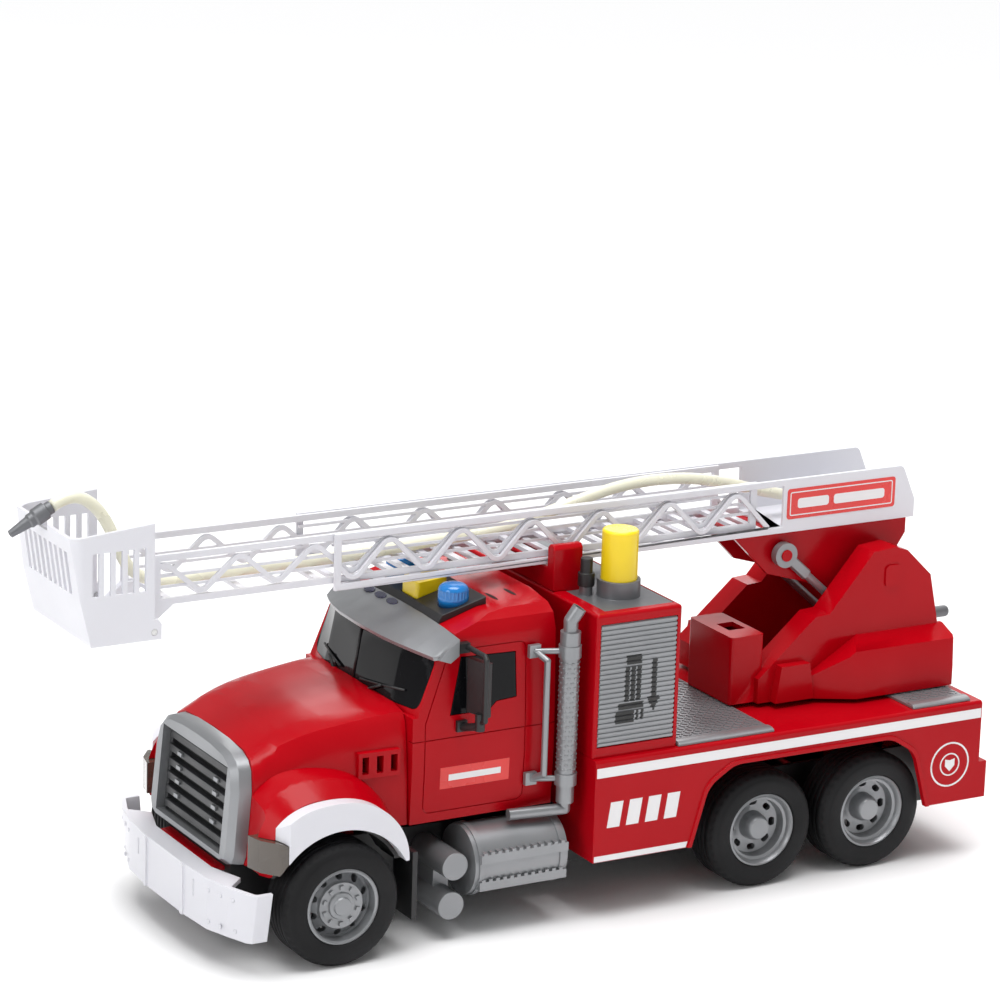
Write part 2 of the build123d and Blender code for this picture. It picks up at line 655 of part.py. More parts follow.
def pump_box():
    half = (-PUMP_BOX_HALF, PUMP_BOX_HALF)
    shell = block(PUMP_BOX_X, half, (BODY_Z[1], PUMP_BOX_TOP))
    shell = fillet(shell.edges().filter_by(Axis.Z) + shell.edges().group_by(Axis.Z)[-1], 1.4)
    inner_x = (PUMP_BOX_X[0] + WALL, PUMP_BOX_X[1] - WALL)
    inner_half = (-PUMP_BOX_HALF + WALL, PUMP_BOX_HALF - WALL)
    shell -= block(inner_x, inner_half, (60, PUMP_BOX_TOP - WALL))
    recess = block((-35.7, -0.2), (PUMP_BOX_HALF - 1, PUMP_BOX_HALF + 1), (72.3, 123.4))
    shell -= both_sides(recess)
    shell -= block((-36.5, -4.3), (-55, 55), (PUMP_BOX_TOP - 1.2, PUMP_BOX_TOP + 1))
    shell -= rod_z((120, 130), 9.6, *PLUNGER_AT)
    return shell - rod_z((120, 130), 2.8, *FILLER_AT)


def shutters():
    """Ribbed roller shutters, one in each side of the pump box."""
    back = block((-35.5, -0.4), (PUMP_BOX_HALF - 1, PUMP_BOX_HALF - 0.4), (72.5, 123.2))
    for slat in range(25):
        z = 73.5 + 2.03 * slat
        back += block((-35.5, -0.4), (PUMP_BOX_HALF - 0.4, PUMP_BOX_HALF + 0.2), (z - 0.6, z + 0.6))
    return both_sides(back)


def top_plate():
    low = PUMP_BOX_TOP - 1.2
    plate = block((-36.4, -4.4), (-54.9, 54.9), (low, PUMP_BOX_TOP - 0.2))
    plate -= block((CRADLE_X[0] - 0.2, 0), (-24.2, 24.2), (120, 130))
    plate += rod_z((low, 134.5), 8.8, *PLUNGER_AT)
    plate += rod_z((low - 0.8, 131), 2.7, *FILLER_AT)
    plate -= rod_z((120, 140), PLUNGER_R + 0.1, *PLUNGER_AT)
    return plate - rod_z((127, 132), 1.6, *FILLER_AT)


def pump_cylinder():
    """Water tank with the pump's bore in it, under the top plate."""
    tank = block((-33, -3), (23, 50), (84, 125.4)) + rod_z((84, 126.3), 9.4, *PLUNGER_AT)
    return tank - rod_z((86, 130), PLUNGER_R + 0.5, *PLUNGER_AT)


def pump_plunger():
    body = rod_z((108, PLUNGER_TOP), PLUNGER_R, *PLUNGER_AT)
    body = fillet(body.edges().filter_by(GeomType.CIRCLE).sort_by(Axis.Z)[-1], 1.2)
    return body - rod_z((107, PLUNGER_TOP - 2.5), 5.9, *PLUNGER_AT)


def pump_spring():
    return helix_spring((*PLUNGER_AT, 87), 64.5, 4.8, 5.4, 0.5)


def filler_plug():
    plug = rod_z((127.4, 132), 1.55, *FILLER_AT) + rod_z((131.1, 136.6), 3.4, *FILLER_AT)
    return plug + rod_z((136.6, 142.6), 2.5, *FILLER_AT)


def cradle():
    """Forked rest that the ladder lies in, keyed into the pump box's roof."""
    z = PUMP_BOX_TOP
    fork = [(24, z), (24, 145), (22.6, 146.5), (20, 146.5), (18.6, 145), (18.6, 136.9)]
    rest = end_prism(fork + [(-py, pz) for py, pz in reversed(fork)], CRADLE_X)
    return rest + block((CRADLE_X[0], -4.6), (-24, 24), (z - 1.1, z))


# ---- turret ----
TURRET_OUTLINE = ((-94, 70), (-94, 80.5), (-121, 104), (-128, 104.5), (-149, 129), (-160, 130),
                  (-166, 128), (-178.5, 116), (-184.5, 89.5), (-186, 70))
TURRET_INSIDE = ((-96, 60), (-96, 79.6), (-121.8, 102), (-129, 102.5), (-150, 127), (-159.6, 128),
                 (-165, 126.2), (-176.7, 115), (-182.5, 89), (-184, 60))


def wing(inset):
    """Hull-shaped bulge low on each side of the turret."""
    t = inset
    plan = [(-114 - 2 * t, 30), (-114 - 2 * t, 33), (-135.6 - t / 2, 44 - t), (-184 + t, 44 - t),
            (-186 + t, 40), (-186 + t, 30)]
    section = [(30, 70 - 3 * t), (44 - t, 70 - 3 * t), (44 - t, 78), (42 - t, 90 - t / 2),
               (32, 94 - t), (30, 94 - t)]
    side = [(-110, 70 - 3 * t), (-110, 75 - t), (-142, 94 - t), (-187, 94 - t), (-187, 70 - 3 * t)]
    form = plan_prism(plan, (60, 100)) & end_prism(section, (-190, -110))
    return form & side_prism(side, (20, 50))


def turret():
    low, high = TURRET_WALL_Y
    skin = (low + WALL, high - WALL)
    wall = side_prism(TURRET_OUTLINE, (low, high)) - side_prism(TURRET_INSIDE, skin)
    wall += wing(0) - wing(WALL) - side_prism(TURRET_INSIDE, skin)
    wall += rod_y((low, high - 1), 5.5, *LIFT_AT)
    wall -= rod_y((low - 1, 30), LIFT_PIN_R, *LIFT_AT)
    step = [(-119, TURRET_Z + 0.5), (-100, TURRET_Z + 0.5), (-102.5, 86), (-116.5, 86)]
    wall += side_prism(step, (high, high + 4.5))
    pad = block((-163, -155), (high, high + 0.8), (113, 122.5))
    wall += fillet(pad.edges().filter_by(Axis.Y), 2)
    body = both_sides(wall)
    body += block((-186, -94), (-low, low), (TURRET_Z, TURRET_Z + WALL))
    body += block((-186, -184), (-low, low), (TURRET_Z, 94))
    body += block((-98, -96), (-low, low), (TURRET_Z, 90))
    console = block((-98, -82), (-4, 29), (TURRET_Z, 99))
    console = fillet(console.edges().filter_by(Axis.Z), 1.5)
    console -= block((-96, -84), (-2, 27), (60, 97))
    console -= block((-95, -87), (9, 19), (90, 105))
    body += console
    body += rod_z((65.7, 72), HUB_R, TURRET_X, 0)
    return body - rod_z((60, 75), SCREW_R, TURRET_X, 0)


def turret_retainer():
    disc = rod_z((63.4, 65.7), 18, TURRET_X, 0) - rod_z((60, 70), SCREW_R + 0.2, TURRET_X, 0)
    return disc + screw(TURRET_X, 0, 61.6, 10)


def turret_handle():
    bar = rod_x((REAR_TIP_X, -186), 2.5, 0, 87)
    return fillet(bar.edges().filter_by(GeomType.CIRCLE).sort_by(Axis.X)[0], 1.8)


def lift_pin():
    return rod_y((-30, 30), LIFT_PIN_R, *LIFT_AT)


# ---- ladder ----
def ladder_bracket():
    outline = [(-90, 137.5), (-108, 119.5), (-140, 110), (-160, 110), (-170, 114), (-173, 124),
               (-177, 130), (-177, 137.5)]
    cheek = side_prism(outline, (11.5, 14)) + rod_y((14, 19.4), LIFT_PIN_R, *RAM_AT)
    frame = both_sides(cheek)
    frame += side_prism([(-90, 137.5), (-92.3, 135.2), (-177, 135.2), (-177, 137.5)], (-14, 14))
    frame += rod_y((-19.6, 19.6), 6, *LIFT_AT)
    return frame - rod_y((-25, 25), LIFT_PIN_R + AXLE_FIT, *LIFT_AT)


def rams():
    """Slim rams, each with an eye on the bracket's peg and its lower end loose in the turret."""
    middle = (RAM_Y[0] + RAM_Y[1]) / 2
    eye = (RAM_AT[0], middle, RAM_AT[1])
    end = (RAM_END[0], middle, RAM_END[1])
    left = rod_between(eye, end, 1.8)
    left += rod_between(eye, Vector(*eye) + (Vector(*end) - Vector(*eye)) * 0.19, 2.5)
    left &= block((-190, -100), RAM_Y, (60, 140))
    left += rod_y(RAM_Y, 5.3, *RAM_AT)
    left -= rod_y((10, 22), LIFT_PIN_R + AXLE_FIT, *RAM_AT)
    return both_sides(left)


def truss(x, y, z):
    """Wave-shaped bracing between a side wall's rails."""
    low, high = z[0] + 1.0, z[1] - 1.0
    points = [(x[0] - TRUSS_PITCH, low)]
    step = TRUSS_PITCH / 2
    at = TRUSS_START - TRUSS_PITCH * round((TRUSS_START - x[0]) / TRUSS_PITCH)
    up = False
    while at < x[1] + step:
        points.append((at, high if up else low))
        at += step
        up = not up
    points = points[1:]
    wave = trace(FilletPolyline(*points, radius=4.0), line_width=2.0)
    strip = Pos(0, y[1], 0) * extrude(Plane.XZ * wave, amount=y[1] - y[0])
    return (Part() + strip) & block(x, y, z)


def rail(x, y, z):
    return block(x, y, z)


def ladder_outer():
    x, y, z = OUTER_X, OUTER_Y, LADDER_Z
    wall = rail(x, y, (z[0], z[0] + 2.8)) + rail(x, y, (z[1] - 2.8, z[1]))
    wall += rail((x[0], OUTER_SOLID_X), y, z) + rail((x[1] - 3, x[1]), y, z)
    wall = both_sides(wall + truss((OUTER_SOLID_X, x[1] - 2), y, (z[0] + 2, z[1] - 2)))
    wall += block((x[0], OUTER_SOLID_X), (-y[0], y[0]), (z[0], z[0] + 1.7))
    for rung in range(13):
        at = OUTER_SOLID_X + RUNG_PITCH * (rung + 0.5)
        wall += block((at - 1.5, at + 1.5), (-y[0], y[0]), (z[0], z[0] + 1.7))
    wedge = [(x[0] - 1, z[1] + 1), (x[0] - 1, z[0] + 8), (x[0], z[0] + 8), (x[0] + 7, z[1] + 1)]
    wall -= side_prism(wedge, (-20, 20))
    corners = [edge for edge in wall.edges().filter_by(Axis.Y) if edge.center().X < x[0] + 8]
    return fillet([edge for edge in corners if edge.center().Z > z[0] + 4], 3)


def ladder_inner():
    x, y, z = INNER_X, INNER_Y, INNER_Z
    wall = rail(x, y, (z[0], z[0] + 2.6)) + rail(x, y, (z[1] - 2.6, z[1]))
    for low in (146.6, 151.0):
        wall += rail(x, (y[0], y[0] + 0.8), (low, low + 1.1))
    wall += rail((x[0], OUTER_X[1]), (y[0], y[0] + 0.8), (155, 156.1))
    wall += rail((x[1] - 3, x[1]), y, z) + rail((x[0], x[0] + 3), y, z)
    wall += truss((x[0], x[1] - 2), y, (z[0] + 2, z[1] - 2))
    hx, hz = BASKET_HINGE
    lug = side_prism([(162, z[0] + 2), (x[1], z[0] + 2), (hx + 2.5, hz + 2), (hx + 2.5, hz - 2.5),
                      (hx - 2.5, hz - 2.5)],
                     (12.4, y[1]))
    wall = both_sides(wall + lug)
    for rung in range(17):
        at = x[0] + 7.4 + RUNG_PITCH * rung
        wall += block((at - 1.5, at + 1.5), (-y[0], y[0]), (z[0], z[0] + 1.6))
    return wall - rod_y((-20, 20), BASKET_PIN_R, hx, hz)


def basket_pin():
    return rod_y((-BASKET_HALF, BASKET_HALF), BASKET_PIN_R, *BASKET_HINGE)


def basket_tub(inset, top):
    """Solid form of the basket, with rounded front corners."""
    hx, hz = BASKET_HINGE
    half = BASKET_HALF - inset
    side = [(hx - 3, hz - 3 + inset), (hx - 3, hz + 3), (hx, 141), (hx, top),
            (BASKET_FRONT + 1 - inset, top), (BASKET_FRONT - inset, 174), (208.6 - inset, 150),
            (204 - inset, 131 + inset)]
    length = BASKET_FRONT - hx + 12 - 2 * inset
    plan = Pos((hx + BASKET_FRONT) / 2 - 5, 0) * RectangleRounded(length, 2 * half, 6)
    return side_prism(side, (-half, half)) & extrude(plan, amount=200)


def basket():
    hx, hz = BASKET_HINGE
    tub = basket_tub(0, 177) - basket_tub(1.5, 190)
    lid = [(hx - 1, 178), (hx - 1, 176.8), (BASKET_FRONT + 2, 173.6), (BASKET_FRONT + 2, 178)]
    tub -= side_prism(lid, (-40, 40))
    tub -= block((hx - 10, hx + 3.5), (-BASKET_HALF + 1.5, BASKET_HALF - 1.5), (120, 190))
    tub -= block((hx - 10, hx - 0.05), (-40, 40), (139, 190))
    for slot in range(5):
        at = 181.6 + 4.8 * slot
        tub -= block((at, at + 2.8), (-40, 40), (150.5, 167.5))
    for slot in range(9):
        at = -20.6 + 4.8 * slot
        tub -= block((200, 215), (at, at + 2.8), (150.5, 167.5))
    tub -= block((205, 215), (-3.9, 3.9), (171.4, 178))
    return tub - rod_y((-30, 30), BASKET_PIN_R + AXLE_FIT, hx, hz)


def nozzle():
    """Hose nozzle that lies on the basket's front rim, pointing forward and down."""
    start = Vector(208.5, 0, 179.6)
    way = Vector(15.5, 0, -8.3).normalized()
    profile = [(0, 0), (2.6, 0), (2.6, 2), (3.5, 2.6), (3.5, 7.4), (2.8, 8.2), (2.8, 10), (2.3, 10.6),
               (1.5, 19), (0, 19)]
    outline = Face(Wire.make_polygon([Vector(r, 0, along) for r, along in profile], close=True))
    body = revolve(Part() + outline, axis=Axis.Z)
    body -= Pos(0, 0, 15) * Cylinder(0.8, 12)
    return Plane(origin=start, z_dir=way) * body


def hose():
    radii = []
    for before, at, after in zip(HOSE_ROUTE, HOSE_ROUTE[1:], HOSE_ROUTE[2:]):
        run_in = Vector(*at) - Vector(*before)
        run_out = Vector(*after) - Vector(*at)
        half_turn = radians(run_in.get_angle(run_out)) / 2
        radii.append(0.45 * min(run_in.length, run_out.length) / tan(half_turn))
    path = FilletPolyline(*HOSE_ROUTE, radius=radii)
    section = Plane(origin=path @ 0, z_dir=path % 0) * Circle(HOSE_R)
    print("hose length", round(path.length, 1), "radii", [round(radius, 1) for radius in radii])
    return sweep(section, path=path)


NODES = {
    "chassis": chassis(),
    "battery_cover": battery_cover(),
    "batteries": batteries(),
    "circuit_board": circuit_board(),
    "speaker": speaker(),
    "body_screws": body_screws(),
    "cab_shell": cab_shell(),
    "windscreen": windscreen(),
    "side_windows": side_windows(),
    "sun_visor": sun_visor(),
    "mirrors": mirrors(),
    "light_bar": light_bar(),
    "beacon_lamps": beacon_lamps(),
    "roof_button": roof_button(),
    "button_spring": button_spring(),
    "hood_shell": hood_shell(),
    "front_valance": front_valance(),
    "grille_surround": grille_surround(),
    "grille_insert": grille_insert(),
    "grille_pegs": grille_pegs(),
    "bumper": bumper(),
    "fender_bands": fender_bands(),
    "headlights": headlights(),
    "wheel_guards": wheel_guards(),
    "exhaust_left": exhaust(1),
    "exhaust_right": exhaust(-1),
    "fuel_tanks": fuel_tanks(),
    "air_tanks": air_tanks(),
    "rear_body": rear_body(),
    "tread_plate_front": tread_plate((-84.0, PUMP_BOX_X[0] - 0.2)),
    "tread_plate_rear": tread_plate((BODY_X[0] + 5, -153.0)),
    "pump_box": pump_box(),
    "shutters": shutters(),
    "top_plate": top_plate(),
    "pump_cylinder": pump_cylinder(),
    "pump_plunger": pump_plunger(),
    "pump_spring": pump_spring(),
    "filler_plug": filler_plug(),
    "cradle": cradle(),
    "axle_front": axle(FRONT_AXLE_X, FRONT_TYRE_Y[1] - 5),
    "tyres_front": tyres(FRONT_AXLE_X, FRONT_TYRE_Y),
    "rims_front": rims_front(),
    "turret": turret(),
    "turret_retainer": turret_retainer(),
    "turret_handle": turret_handle(),
    "lift_pin": lift_pin(),
    "ladder_bracket": ladder_bracket(),
    "rams": rams(),
    "ladder_outer": ladder_outer(),
    "ladder_inner": ladder_inner(),
    "basket_pin": basket_pin(),
    "basket": basket(),
    "nozzle": nozzle(),
    "hose": hose(),
}
for number, axle_x in enumerate(REAR_AXLE_X, 1):
    NODES[f"axle_rear_{number}"] = axle(axle_x, REAR_TYRE_Y[1] - 10)
    NODES[f"tyres_rear_{number}"] = tyres(axle_x, REAR_TYRE_Y)
    NODES[f"rims_rear_{number}"] = rims_rear(axle_x)

os.makedirs("parts", exist_ok=True)
for node, shape in NODES.items():
    export_step(shape, f"parts/{node}.step")
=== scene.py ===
import math
import random

import bmesh
import bpy
from mathutils import Matrix, Vector


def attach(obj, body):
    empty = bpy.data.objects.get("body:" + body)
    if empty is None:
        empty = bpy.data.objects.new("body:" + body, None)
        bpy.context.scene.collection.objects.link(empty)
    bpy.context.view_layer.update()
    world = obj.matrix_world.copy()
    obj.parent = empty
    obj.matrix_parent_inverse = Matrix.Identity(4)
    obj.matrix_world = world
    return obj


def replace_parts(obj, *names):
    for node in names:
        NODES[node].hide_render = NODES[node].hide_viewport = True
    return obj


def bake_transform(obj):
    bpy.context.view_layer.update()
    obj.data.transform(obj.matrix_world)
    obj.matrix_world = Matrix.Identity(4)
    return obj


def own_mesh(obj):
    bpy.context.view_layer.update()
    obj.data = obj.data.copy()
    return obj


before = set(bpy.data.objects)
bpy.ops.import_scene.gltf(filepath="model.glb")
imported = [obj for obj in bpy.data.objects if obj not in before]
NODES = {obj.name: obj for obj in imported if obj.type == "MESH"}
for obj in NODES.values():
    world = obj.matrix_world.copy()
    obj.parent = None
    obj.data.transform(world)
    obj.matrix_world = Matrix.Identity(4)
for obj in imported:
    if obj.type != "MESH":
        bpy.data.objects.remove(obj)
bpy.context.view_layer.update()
MM = 0.001
random.seed(7)


# ---------------------------------------------------------------- camera
def make_camera():
    yaw, pitch, roll = (math.radians(v) for v in (60.067, 15.338, 1.806))
    forward = Vector((-math.cos(pitch) * math.cos(yaw), -math.cos(pitch) * math.sin(yaw), -math.sin(pitch)))
    right = forward.cross(Vector((0, 0, 1))).normalized()
    up = right.cross(forward)
    right, up = (math.cos(roll) * right + math.sin(roll) * up, -math.sin(roll) * right + math.cos(roll) * up)
    data = bpy.data.cameras.new("camera")
    data.sensor_width = 36
    data.lens = 143.63
    data.clip_start, data.clip_end = 0.05, 20
    cam = bpy.data.objects.new("camera", data)
    bpy.context.scene.collection.objects.link(cam)
    matrix = Matrix((right, up, -forward)).transposed().to_4x4()
    matrix.translation = Vector((784.71, 1339.53, 585.04)) * MM
    cam.matrix_world = matrix
    bpy.context.scene.camera = cam


make_camera()


# ---------------------------------------------------------------- materials
def node_material(name):
    mat = bpy.data.materials.new(name)
    mat.use_nodes = True
    tree = mat.node_tree
    return mat, tree, tree.nodes["Principled BSDF"]


def link(tree, a, out, b, socket):
    tree.links.new(a.outputs[out], b.inputs[socket])


def coords(tree, scale=(1, 1, 1)):
    source = tree.nodes.new("ShaderNodeTexCoord")
    mapping = tree.nodes.new("ShaderNodeMapping")
    mapping.inputs["Scale"].default_value = scale
    link(tree, source, "Object", mapping, "Vector")
    return mapping


def noise(tree, scale, detail=4.0, stretch=(1, 1, 1)):
    tex = tree.nodes.new("ShaderNodeTexNoise")
    tex.inputs["Scale"].default_value = scale
    tex.inputs["Detail"].default_value = detail
    link(tree, coords(tree, stretch), "Vector", tex, "Vector")
    return tex


def ramp(tree, source, low, high, spread=(0.35, 0.65)):
    """Grey or colour values between two ends of a noise."""
    node = tree.nodes.new("ShaderNodeValToRGB")
    node.color_ramp.elements[0].position, node.color_ramp.elements[1].position = spread
    for element, value in zip(node.color_ramp.elements, (low, high)):
        element.color = (value,) * 3 + (1,) if isinstance(value, float) else (*value, 1)
    link(tree, source, 0, node, "Fac")
    return node


def add_bump(tree, bsdf, source, strength, distance):
    bump = tree.nodes.new("ShaderNodeBump")
    bump.inputs["Strength"].default_value = strength
    bump.inputs["Distance"].default_value = distance
    link(tree, source, 0, bump, "Height")
    link(tree, bump, "Normal", bsdf, "Normal")
    return bump


def moulded(name, colour, rough=0.3, metallic=0.0, coat=0.0, grain=900, strength=0.08, mottle=0.05,
            waviness=True, subsurface=0.0, transmission=0.0, spread=0.06, specular=0.5):
    """Injection-moulded plastic: slight tint and gloss variation, moulding grain, faint sink waves."""
    mat, tree, bsdf = node_material(name)
    soft = noise(tree, 22, 3)
    dark = tuple(c * (1 - mottle) for c in colour)
    light = tuple(min(1.0, c * (1 + mottle) + 0.002) for c in colour)
    link(tree, ramp(tree, soft, dark, light), "Color", bsdf, "Base Color")
    smudge = noise(tree, 60, 5)
    link(tree, ramp(tree, smudge, max(0.03, rough - spread), rough + spread), "Color", bsdf, "Roughness")
    fine = noise(tree, grain, 6)
    height = fine
    if waviness:
        waves = noise(tree, 45, 1.5)
        blend = tree.nodes.new("ShaderNodeMix")
        blend.data_type = "FLOAT"
        blend.inputs[0].default_value = 0.6
        link(tree, fine, 0, blend, 2)
        link(tree, waves, 0, blend, 3)
        height = blend
    add_bump(tree, bsdf, height, strength, 0.0006)
    bsdf.inputs["Metallic"].default_value = metallic
    bsdf.inputs["Specular IOR Level"].default_value = specular
    bsdf.inputs["Coat Weight"].default_value = coat
    bsdf.inputs["Coat Roughness"].default_value = 0.08
    if subsurface:
        bsdf.inputs["Subsurface Weight"].default_value = subsurface
        bsdf.inputs["Subsurface Radius"].default_value = (0.004, 0.004, 0.0035)
        bsdf.inputs["Subsurface Scale"].default_value = 1.0
    if transmission:
        bsdf.inputs["Transmission Weight"].default_value = transmission
        bsdf.inputs["IOR"].default_value = 1.49
    return mat


def brushed(name, colour, rough=0.28):
    mat, tree, bsdf = node_material(name)
    lines = noise(tree, 600, 3, (1, 0.03, 1))
    link(tree, ramp(tree, lines, tuple(c * 0.85 for c in colour), colour), "Color", bsdf, "Base Color")
    link(tree, ramp(tree, lines, rough - 0.08, rough + 0.1), "Color", bsdf, "Roughness")
    add_bump(tree, bsdf, lines, 0.05, 0.0003)
    bsdf.inputs["Metallic"].default_value = 1.0
    return mat


M = {
    "red": moulded("red_gloss", (0.42, 0.0, 0.005), rough=0.2, coat=0.0, strength=0.03, mottle=0.03,
                   grain=700, specular=0.16),
    "white": moulded("white_gloss", (0.70, 0.70, 0.745), rough=0.34, coat=0.15, strength=0.06, mottle=0.015,
                     subsurface=0.08),
    "silver": moulded("silver_paint", (0.28, 0.288, 0.30), rough=0.36, metallic=0.55, coat=0.1, grain=2600,
                      strength=0.12, mottle=0.05),
    "grey": moulded("dark_silver", (0.17, 0.175, 0.185), rough=0.4, metallic=0.45, grain=2200,
                    strength=0.12, mottle=0.06),
    "deck": moulded("deck_silver", (0.25, 0.256, 0.268), rough=0.38, metallic=0.5, grain=2200,
                    strength=0.12, mottle=0.06),
    "black": moulded("black_satin", (0.014, 0.014, 0.015), rough=0.42, grain=2400, strength=0.2,
                     mottle=0.15),
    "charcoal": moulded("charcoal_satin", (0.03, 0.031, 0.033), rough=0.38, grain=2000, strength=0.15,
                        mottle=0.1),
    "glazing": moulded("black_glazing", (0.004, 0.004, 0.005), rough=0.06, coat=0.0, strength=0.02,
                       spread=0.02, specular=0.16),
    "yellow": moulded("yellow_gloss", (0.92, 0.66, 0.004), rough=0.33, coat=0.15, subsurface=0.15,
                      strength=0.05),
    "blue": moulded("blue_lens", (0.002, 0.20, 0.60), rough=0.16, coat=0.5, transmission=0.15,
                    strength=0.04),
    "smoke": moulded("smoke_lens", (0.11, 0.085, 0.065), rough=0.12, coat=0.7, transmission=0.35,
                     strength=0.05),
    "tyre": moulded("tyre_rubber", (0.009, 0.009, 0.010), rough=0.62, grain=1500, strength=0.25,
                    mottle=0.25, specular=0.25),
    "hose": moulded("hose_cream", (0.86, 0.84, 0.68), rough=0.3, coat=0.1, subsurface=0.35,
                    transmission=0.1, strength=0.04),
    "steel": brushed("bright_steel", (0.66, 0.66, 0.65)),
    "cell": moulded("cell_sleeve", (0.03, 0.11, 0.06), rough=0.35, metallic=0.3),
    "board": moulded("board_laminate", (0.012, 0.12, 0.035), rough=0.45, grain=3000),
    "stripe": moulded("stripe_ink", (0.80, 0.79, 0.80), rough=0.35, coat=0.1, strength=0.03, mottle=0.01,
                      waviness=False),
    "label_red": moulded("label_red", (0.72, 0.03, 0.025), rough=0.3, coat=0.2, strength=0.03,
                         waviness=False),
    # Dark blue for the roof ovals: a painted reflection of the blue beacons, not a lens.
    "beacon_reflection_paint": moulded("painted_beacon_reflection", (0.012, 0.012, 0.05), rough=0.14, coat=0.6, strength=0.03),
    "ink_black": moulded("ink_black", (0.02, 0.02, 0.02), rough=0.5, grain=4000, strength=0.1,
                         waviness=False),
    "hollow": moulded("shadowed_hollow", (0.02, 0.003, 0.003), rough=0.7),
}


# ---------------------------------------------------------------- mesh tools
def finish_piece(name, bm, mat, body=None, smooth=True, bevel=0.0, weighted=True):
    """Turns a bmesh in millimetres into a piece that rides on a body."""
    bmesh.ops.recalc_face_normals(bm, faces=bm.faces)
    for v in bm.verts:
        v.co *= MM
    mesh = bpy.data.meshes.new(name)
    bm.to_mesh(mesh)
    bm.free()
    mesh.materials.append(M[mat])
    for poly in mesh.polygons:
        poly.use_smooth = smooth
    obj = bpy.data.objects.new(name, mesh)
    bpy.context.scene.collection.objects.link(obj)
    shade(obj, bevel, 35, weighted)
    if body:
        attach(obj, body)
    return obj


def shade(obj, bevel, angle, weighted):
    if bevel:
        mod = obj.modifiers.new("edges", "BEVEL")
        mod.width = bevel * MM
        mod.segments = 2
        mod.limit_method = "ANGLE"
        mod.angle_limit = math.radians(angle)
        mod.harden_normals = False
    if weighted:
        mod = obj.modifiers.new("normals", "WEIGHTED_NORMAL")
        mod.keep_sharp = True
        mod.weight = 60


def turns(count):
    """Evenly spaced angles round a full turn."""
    return [2 * math.pi * i / count for i in range(count)]


def add_loop_faces(bm, rings, close_ends=False, close_loop=False):
    """Skins equally long point rings; the ends are capped, or the last ring joins the first."""
    verts = [[bm.verts.new(p) for p in ring] for ring in rings]
    pairs = list(zip(verts, verts[1:]))
    if close_loop:
        pairs.append((verts[-1], verts[0]))
    for a, b in pairs:
        for i in range(len(a)):
            j = (i + 1) % len(a)
            bm.faces.new((a[i], a[j], b[j], b[i]))
    if close_ends:
        bm.faces.new(list(reversed(verts[0])))
        bm.faces.new(verts[-1])


def add_box(bm, x, y, z, place=Matrix.Identity(4)):
    """Box between (low, high) pairs, moved by a matrix."""
    corners = [Vector((x[i], y[j], z[k])) for i, j, k in
               ((0, 0, 0), (1, 0, 0), (1, 1, 0), (0, 1, 0), (0, 0, 1), (1, 0, 1), (1, 1, 1), (0, 1, 1))]
    v = [bm.verts.new(place @ c) for c in corners]
    for face in ((0, 3, 2, 1), (4, 5, 6, 7), (0, 1, 5, 4), (1, 2, 6, 5), (2, 3, 7, 6), (3, 0, 4, 7)):
        bm.faces.new([v[i] for i in face])


def add_prism(bm, outline, axis, low, high):
    """Extrudes a closed outline along x or y. The outline gives the other two coordinates in order."""
    def place(p, level):
        point = list(p)
        point.insert("xy".index(axis), level)
        return Vector(point)
    add_loop_faces(bm, [[place(p, level) for p in outline] for level in (low, high)], close_ends=True)


def add_lathe(bm, profile, centre, direction, count):
    """Spins (radius, along) pairs round a line through centre."""
    direction = Vector(direction).normalized()
    side = direction.orthogonal().normalized()
    other = direction.cross(side)
    centre = Vector(centre)
    rings = []
    for radius, along in profile:
        radius = max(radius, 0.001)
        rings.append([centre + direction * along + (side * math.cos(turn) + other * math.sin(turn)) * radius
                      for turn in turns(count)])
    add_loop_faces(bm, rings, close_ends=True)
    bmesh.ops.remove_doubles(bm, verts=bm.verts, dist=0.003)


def add_tube(bm, points, radius, count=16):
    """Round bar that follows points, with its ends closed."""
    points = [Vector(p) for p in points]
    rings = []
    normal = None
    for i, p in enumerate(points):
        ahead = points[min(i + 1, len(points) - 1)] - p
        behind = p - points[max(i - 1, 0)]
        tangent = (ahead.normalized() if ahead.length else Vector()) + \
                  (behind.normalized() if behind.length else Vector())
        tangent.normalize()
        if normal is None:
            normal = tangent.orthogonal().normalized()
        normal = (normal - tangent * normal.dot(tangent)).normalized()
        other = tangent.cross(normal)
        rings.append([p + (normal * math.cos(turn) + other * math.sin(turn)) * radius
                      for turn in turns(count)])
    add_loop_faces(bm, rings, close_ends=True)


# ---------------------------------------------------------------- hose
HOSE_ROUTE = ((208.2, 0.0, 179.8), (200.5, 0.0, 184.2), (189.8, 0.3, 178.2), (182.6, 0.8, 165.0),
              (177.5, 1.3, 151.5), (165.5, 2.0, 145.0), (147.0, 3.0, 146.2), (120.0, 5.0, 147.4),
              (80.0, 2.0, 146.2), (42.0, -2.0, 147.0), (12.0, 1.0, 149.0), (-14.0, 4.0, 156.6),
              (-41.0, 5.0, 163.2), (-68.0, 4.5, 163.2), (-92.0, 2.5, 158.2), (-111.0, 0.0, 151.6),
              (-128.0, -1.5, 147.4))
HOSE_DIAMETER = 4.8


